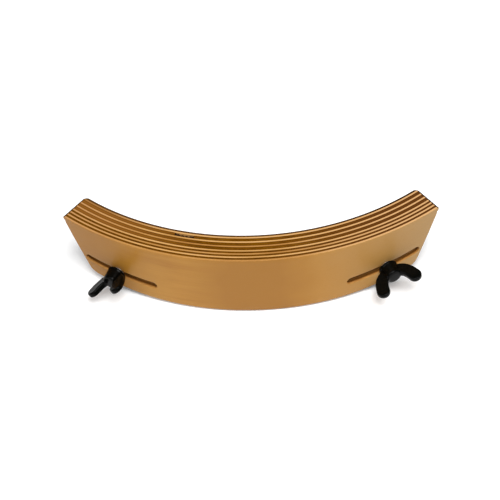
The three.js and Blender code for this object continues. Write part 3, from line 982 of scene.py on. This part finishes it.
def nut_insert():
    """A brass thread, knurled outside so that it holds in the moulding."""
    base, top = 0.2, HUB_HEIGHT - HUB_CAP - 0.4
    knurl_base, knurl_top = base + 0.8, top - 0.8
    bore = BOLT_RADIUS + 0.15
    collar, groove = INSERT_RADIUS - 0.3, INSERT_RADIUS - 0.2

    def knurl(radius, z, angle):
        if radius < INSERT_RADIUS - 0.01 or not knurl_base < z < knurl_top:
            return radius
        return radius - 0.22 * abs(math.sin(12 * angle))

    rows = [knurl_base + 0.01, (base + top) / 2, knurl_top - 0.01]
    outside = [(INSERT_RADIUS, row) for row in rows]
    low = [(bore, base + 0.3), (bore + 0.3, base), (collar, base), (groove, knurl_base)]
    high = [(groove, knurl_top), (collar, top), (bore + 0.3, top), (bore, top - 0.3)]
    return ring("insert", [*low, *outside, *high], 144, knurl)


def bolt():
    """A bolt with a domed head, a square neck in the foot's plate, and a rolled thread."""
    seat = PLATE_BACK - FIT
    rim = seat - 0.5
    thread_start = BOLT_REACH - THREAD_LENGTH

    def rolled(radius, z, angle):
        if z < thread_start or radius < BOLT_RADIUS - 0.6:
            return radius
        fade = min(1.0, (z - thread_start) / 1.5)
        wave = math.cos(2 * math.pi * z / THREAD_PITCH - angle)
        return radius - THREAD_DEPTH * fade * (0.5 - 0.5 * wave) ** 0.8

    quarter = arc(0, 0, 1, -90, 0, 10)
    dome = [(BOLT_HEAD_RADIUS * x, rim + (BOLT_HEAD_HEIGHT - 0.5) * y) for x, y in quarter]
    core = [*dome, (BOLT_HEAD_RADIUS, seat - 0.2), (BOLT_HEAD_RADIUS - 0.2, seat), (0, seat)]
    row_height = THREAD_PITCH / THREAD_ROWS
    rows = int((THREAD_LENGTH - 0.6) / row_height)
    thread = [(BOLT_RADIUS, thread_start + row * row_height) for row in range(rows)]
    tip = [(BOLT_RADIUS - 0.25, BOLT_REACH - 0.3), (BOLT_RADIUS - 0.7, BOLT_REACH), (0, BOLT_REACH)]
    shank_start = PLATE_FACE - 0.4
    shank = [(0, shank_start), (BOLT_RADIUS, shank_start), *thread, *tip]
    neck = extrusion("neck", square(NECK / 2), seat - 0.3, PLATE_FACE)
    bevel(neck, 0.25, segments=2)
    return join([lathe("head", core, 64), neck, lathe("shank", shank, 40, rolled)])


def washer():
    """A punched washer: sharp below, rolled over above."""
    base, top = FIT, FIT + WASHER_THICKNESS
    hole, rim = BOLT_RADIUS + 0.2, WASHER_RADIUS
    edge = 0.35
    under = [(hole, base + 0.2), (hole + 0.1, base), (rim - 0.15, base), (rim, base + 0.15)]
    rolled = arc(rim - edge, top - edge, edge, 0, 90, 5)
    return ring("washer", [*under, *rolled, (hole + 0.2, top), (hole, top - 0.15)], 96)


def slide_shoe():
    """A nylon pad that follows the hollow side and carries the foot's plate on its flat back."""
    radius = BEND_RADIUS - BOARD - FIT
    half = math.degrees(math.asin(SHOE_LENGTH / 2 / radius))
    curved = arc(0, -BEND_RADIUS, radius, 90 - half, 90 + half, 16)
    outline = [(-SHOE_LENGTH / 2, SHOE_FACE), (SHOE_LENGTH / 2, SHOE_FACE), *curved]
    piece = extrusion("shoe", outline, -SHOE_WIDTH / 2, SHOE_WIDTH / 2)
    piece.data.transform(Matrix.Rotation(math.radians(90), 4, "X"))
    upright = [edge for edge in piece.data.edges if abs(edge_along(piece.data, edge).z) > 0.9]
    bevel_edges(piece, upright, 2.0, 6)
    bevel(piece, 0.3, angle=35)
    bore = BOLT_RADIUS + 0.3
    cut(piece, lathe("bore", [(0, SHOE_FACE - 1), (bore, SHOE_FACE - 1), (bore, 1), (0, 1)], 48))
    return piece


def foot_plate(pin_out, pin_spread):
    """A stamped T-shaped plate with rounded corners, and a square hole for the bolt's neck."""
    stem = SHOE_WIDTH / 2
    tail = -SHOE_LENGTH / 2 + 2
    start, end = pin_out - ARM_WIDTH / 2, pin_out + ARM_WIDTH / 2
    arm = pin_spread + ARM_MARGIN
    lower = [(tail, -stem), (start, -stem), (start, -arm), (end, -arm)]
    corners = lower + [(x, -y) for x, y in reversed(lower)]
    piece = extrusion("plate", rounded(corners, 2.2), PLATE_BACK, PLATE_FACE)
    bevel(piece, 0.35, angle=50)
    low, high = PLATE_BACK - 1, PLATE_FACE + 1
    holes = [extrusion("neck hole", square(NECK / 2 + 0.12), low, high)]
    size = PIN_RADIUS + 0.05
    for way in (-1, 1):
        hole = lathe("pin hole", [(0, low), (size, low), (size, high), (0, high)])
        hole.data.transform(Matrix.Translation((pin_out, way * pin_spread, 0)))
        holes.append(hole)
    cut(piece, *holes)
    return piece


def fork_pin():
    """A steel pin with a peened end where it is riveted through the plate."""
    low = PLATE_BACK - SLEEVE_LENGTH + SLEEVE_NOSE + 0.3
    riveted = PLATE_FACE + 0.03
    profile = [
        (0, low),
        (PIN_RADIUS - 0.4, low),
        (PIN_RADIUS, low + 0.4),
        (PIN_RADIUS, riveted),
        (PIN_RADIUS + 0.5, riveted),
        (PIN_RADIUS + 0.2, PLATE_FACE + 0.35),
        (0.6, PLATE_FACE + 0.5),
        (0, PLATE_FACE + 0.5),
    ]
    return lathe("pin", profile, 48)


def sleeve():
    """A waisted rubber sleeve with a rounded end, pushed over its pin."""
    base = PLATE_BACK - FIT
    end = base - SLEEVE_LENGTH
    full, waist = SLEEVE_RADIUS, SLEEVE_RADIUS - 0.9
    bore = PIN_RADIUS + 0.06
    nose = arc(full - SLEEVE_NOSE, end + SLEEVE_NOSE, SLEEVE_NOSE, -90, 0, 10)
    narrowest = (waist, end + 5.2)
    into_waist = bezier(nose[-1], (full, end + 3.4), (waist, end + 3.4), narrowest, 10)
    out_of_waist = bezier(narrowest, (waist, end + 7), (full, end + 7), (full, end + 8.4), 10)
    collar = arc(full - 0.4, base - 0.4, 0.4, 0, 90, 4)
    inside = [(bore, base), (bore, end + SLEEVE_NOSE), (0, end + SLEEVE_NOSE)]

    def seam(radius, z, angle):
        ridge = max(0.0, 1 - abs(math.sin(angle)) / 0.06)
        return radius + 0.07 * ridge if radius > waist - 0.1 else radius

    return lathe("sleeve", [(0, end), *nose, *into_waist, *out_of_waist, *collar, *inside], 120, seam)


def make_clamp(side):
    """All the pieces of one side's clamp."""
    bolt_at, foot_at, nut_at = bolt_place(side), foot_place(side), nut_place(side)
    put(slide_shoe(), bolt_at, f"{side}_slide_shoe", f"{side}_shoe", "black_nylon")
    put(washer(), bolt_at, f"{side}_washer", f"{side}_washer", "zinc_steel")

    pins = {level: local_centre(foot_at, f"{side}_{level}_pin") for level in ("upper", "lower")}
    pin_out = pins["upper"].x
    pin_spread = abs(pins["upper"].y)
    body = f"{side}_foot"
    put(foot_plate(pin_out, pin_spread), foot_at, f"{side}_foot_plate", body, "black_steel")
    put(bolt(), foot_at, f"{side}_bolt", body, "zinc_steel")
    for level, centre in pins.items():
        pin_at = foot_at @ Matrix.Translation((centre.x * MM, centre.y * MM, 0))
        put(fork_pin(), pin_at, f"{side}_{level}_pin", body, "zinc_steel")
        put(sleeve(), pin_at, f"{side}_{level}_sleeve", body, "rubber", 60)

    nut_base_at = nut_at @ Matrix.Translation((0, 0, NUT_BASE * MM))
    put(wing_nut(), nut_base_at, f"{side}_wing_nut", f"{side}_nut", "black_moulding", 60)
    put(nut_insert(), nut_base_at, f"{side}_nut_insert", f"{side}_nut", "brass")


for side in SIDES:
    make_clamp(side)

# ---------------------------------------------------------------- camera, floor and lights

CAMERA_ELEVATION = math.radians(49.45)
CAMERA_AZIMUTH = math.radians(4.64)
CAMERA_ROLL = math.radians(4.83)
CAMERA_DISTANCE = 0.9432
CAMERA_LENS = 101.74
CAMERA_TARGET = Vector((-0.93 * MM, face_low.y + 31.04 * MM, (TOP + BOTTOM) / 2))
SENSOR_WIDTH = 36
FLOOR_GLOW = 0.12  # the floor also shines a little, so that it reads as white


def make_camera():
    level = math.cos(CAMERA_ELEVATION)
    right = Vector((math.cos(CAMERA_AZIMUTH), math.sin(CAMERA_AZIMUTH), 0))
    back = Vector((right.y * level, -right.x * level, math.sin(CAMERA_ELEVATION)))
    up = back.cross(right)
    tilted_right = right * math.cos(CAMERA_ROLL) - up * math.sin(CAMERA_ROLL)
    tilted_up = right * math.sin(CAMERA_ROLL) + up * math.cos(CAMERA_ROLL)
    camera = bpy.data.objects.new("camera", bpy.data.cameras.new("camera"))
    camera.data.lens = CAMERA_LENS
    camera.data.sensor_width = SENSOR_WIDTH
    turn = Matrix((tilted_right, tilted_up, back)).transposed().to_4x4()
    camera.matrix_world = Matrix.Translation(CAMERA_TARGET + back * CAMERA_DISTANCE) @ turn
    bpy.context.scene.collection.objects.link(camera)
    bpy.context.scene.camera = camera


def make_floor():
    side = 3.0
    corners = [(-side, -side, 0), (side, -side, 0), (side, side, 0), (-side, side, 0)]
    floor = new_object("floor", mesh_from("floor", corners, [(0, 1, 2, 3)]))
    shader = Shader("floor")
    speck = shader.noise(shader.place(), 900, 3)
    shader.set(Base_Color=shader.ramp(speck, [(0, (0.9,) * 3), (1, (0.92,) * 3)]), Roughness=0.9)
    shader.set(Emission_Color=(1, 1, 1, 1), Emission_Strength=FLOOR_GLOW)
    floor.data.materials.append(shader.material)


def area_light(name, place, size, power):
    """A white panel that shines on the middle of the floor."""
    light = bpy.data.lights.new(name, "AREA")
    light.shape = "RECTANGLE"
    light.size, light.size_y = size
    light.energy = power
    lamp = bpy.data.objects.new(name, light)
    lamp.location = place
    lamp.rotation_euler = (-Vector(place)).to_track_quat("-Z", "Y").to_euler()
    bpy.context.scene.collection.objects.link(lamp)


def make_light():
    world = bpy.data.worlds.new("studio")
    world.use_nodes = True
    sky = world.node_tree.nodes["Background"].inputs
    sky["Color"].default_value = (1, 1, 1, 1)
    sky["Strength"].default_value = 0.16
    bpy.context.scene.world = world
    area_light("key", (0.3, -0.4, 1.3), (0.9, 0.8), 22)
    area_light("fill", (-0.6, -0.55, 1.15), (1.3, 1.1), 9.5)
    area_light("spark", (0.1, -0.6, 1.3), (0.06, 0.06), 1.5)
    bpy.context.scene.view_settings.view_transform = "Standard"


make_camera()
make_floor()
make_light()
